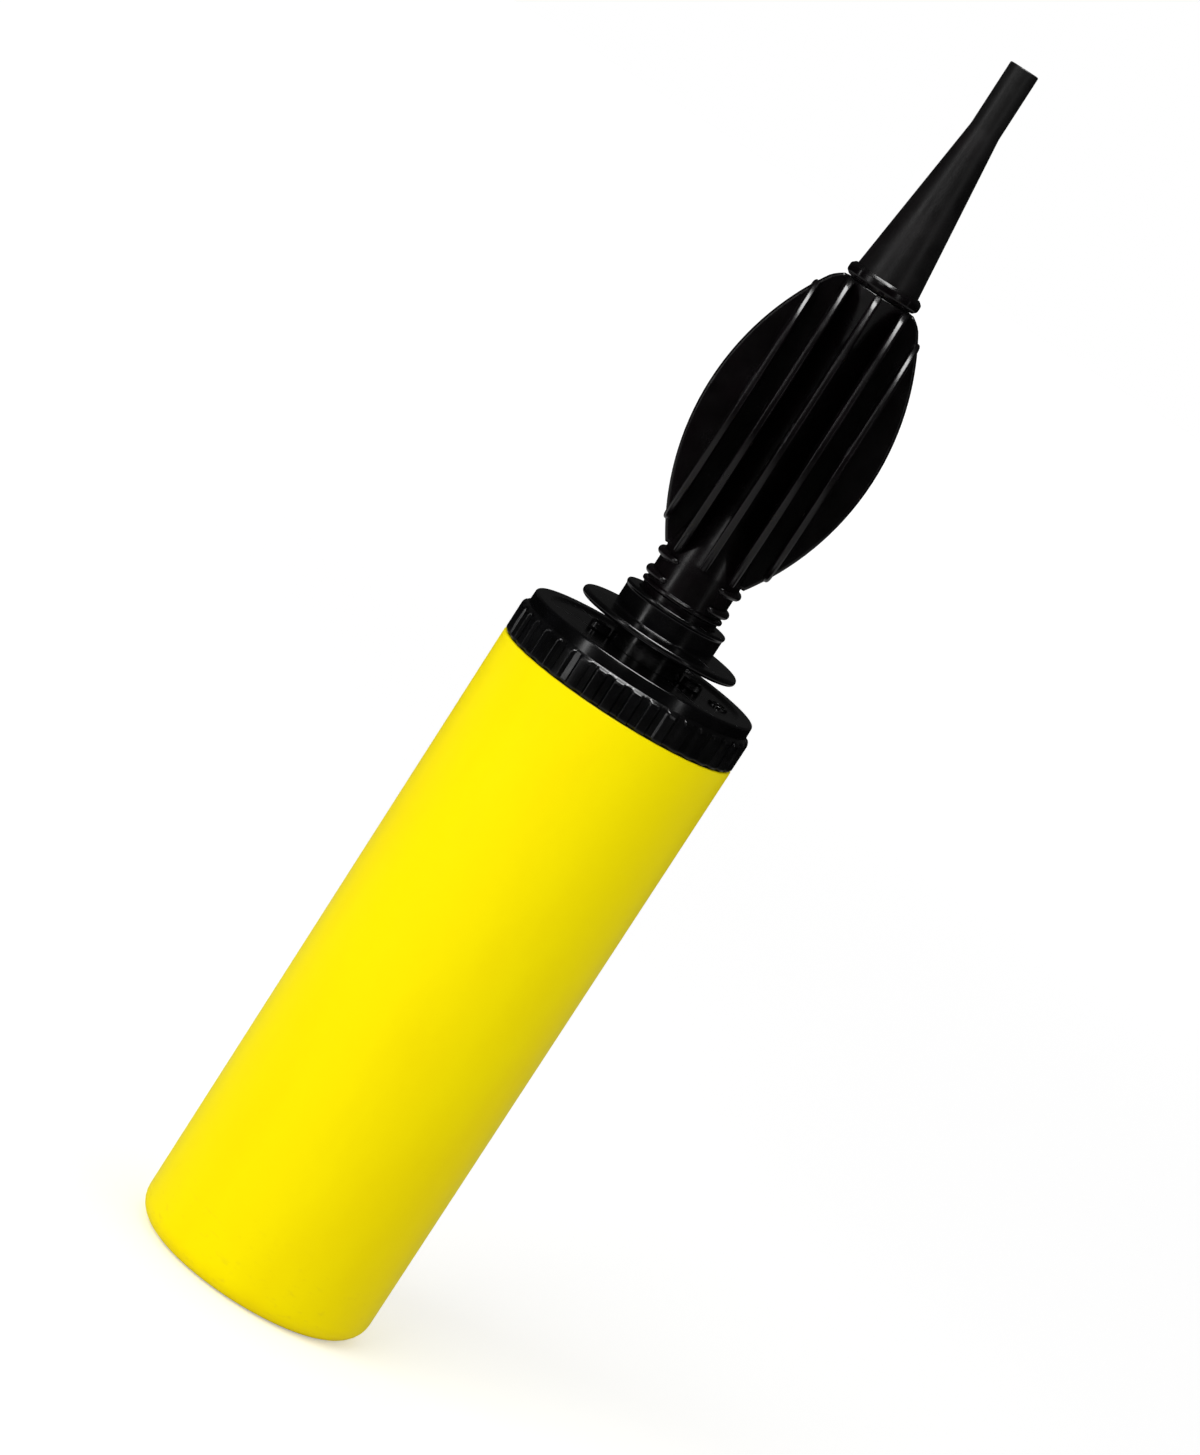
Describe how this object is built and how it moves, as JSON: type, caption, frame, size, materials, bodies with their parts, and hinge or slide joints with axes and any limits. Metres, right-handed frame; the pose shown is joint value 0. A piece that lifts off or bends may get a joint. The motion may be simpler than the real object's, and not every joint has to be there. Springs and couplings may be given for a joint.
{
  "type": "ball inflation pump",
  "caption": "Hand-held push-pull air pump: round closed barrel, ribbed screw cap, hollow plunger with a finned lens-shaped grip and a tapered nozzle, for inflating balls and balloons.",
  "frame": {"origin": "centre of the barrel's flat foot ring", "axes": "+Z along the pump's axis from the base to the nozzle's tip; X across the grip's fins, Y along them; the side seen in the picture faces -Y"},
  "size_m": [0.052, 0.052, 0.28],
  "materials": {
    "barrel_yellow": "smooth semi-gloss yellow moulding",
    "cap_black": "semi-gloss black moulding",
    "grip_black": "semi-gloss black moulding",
    "nozzle_black": "satin black moulding",
    "natural_plastic": "unpigmented satin plastic",
    "black_rubber": "soft matt black",
    "soft_flap": "thin soft grey sheet"
  },
  "bodies": {
    "barrel": {"barrel": "barrel_yellow", "base_valve_cage": "natural_plastic", "cap": "cap_black", "cap_gasket": "black_rubber", "gland": "natural_plastic", "rod_bush": "natural_plastic", "rod_seal": "black_rubber", "stroke_buffer": "black_rubber"},
    "seal": {"piston_seal": "black_rubber"},
    "plunger": {"piston_base": "natural_plastic", "piston_divider": "natural_plastic", "piston_body": "natural_plastic", "tube_seal": "black_rubber", "plunger_tube": "cap_black", "plunger_head": "cap_black", "head_seal": "black_rubber", "grip": "grip_black", "nozzle_seal": "black_rubber", "nozzle_ring": "grip_black", "nozzle": "nozzle_black"},
    "base_valve": {"base_valve_disc": "soft_flap"},
    "cap_valve": {"cap_valve_ring": "soft_flap"},
    "lower_delivery_valve": {"lower_delivery_disc": "soft_flap"},
    "upper_delivery_valve": {"upper_delivery_ring": "soft_flap"}
  },
  "joints": [
    {"name": "plunger_slide", "type": "slide", "parent": "barrel", "child": "seal", "axis": [0, 0, 1], "range_m": [0, 0.098]},
    {"name": "plunger_turn", "type": "hinge", "parent": "seal", "child": "plunger", "pos_m": [0, 0, 0.05], "axis": [0, 0, 1], "continuous": true},
    {"name": "base_valve_lift", "type": "slide", "parent": "barrel", "child": "base_valve", "axis": [0, 0, 1], "range_m": [0, 0.001]},
    {"name": "cap_valve_close", "type": "slide", "parent": "barrel", "child": "cap_valve", "axis": [0, 0, 1], "range_m": [0, 0.001]},
    {"name": "lower_delivery_lift", "type": "slide", "parent": "plunger", "child": "lower_delivery_valve", "axis": [0, 0, 1], "range_m": [0, 0.001]},
    {"name": "upper_delivery_close", "type": "slide", "parent": "plunger", "child": "upper_delivery_valve", "axis": [0, 0, 1], "range_m": [0, 0.001]}
  ]
}
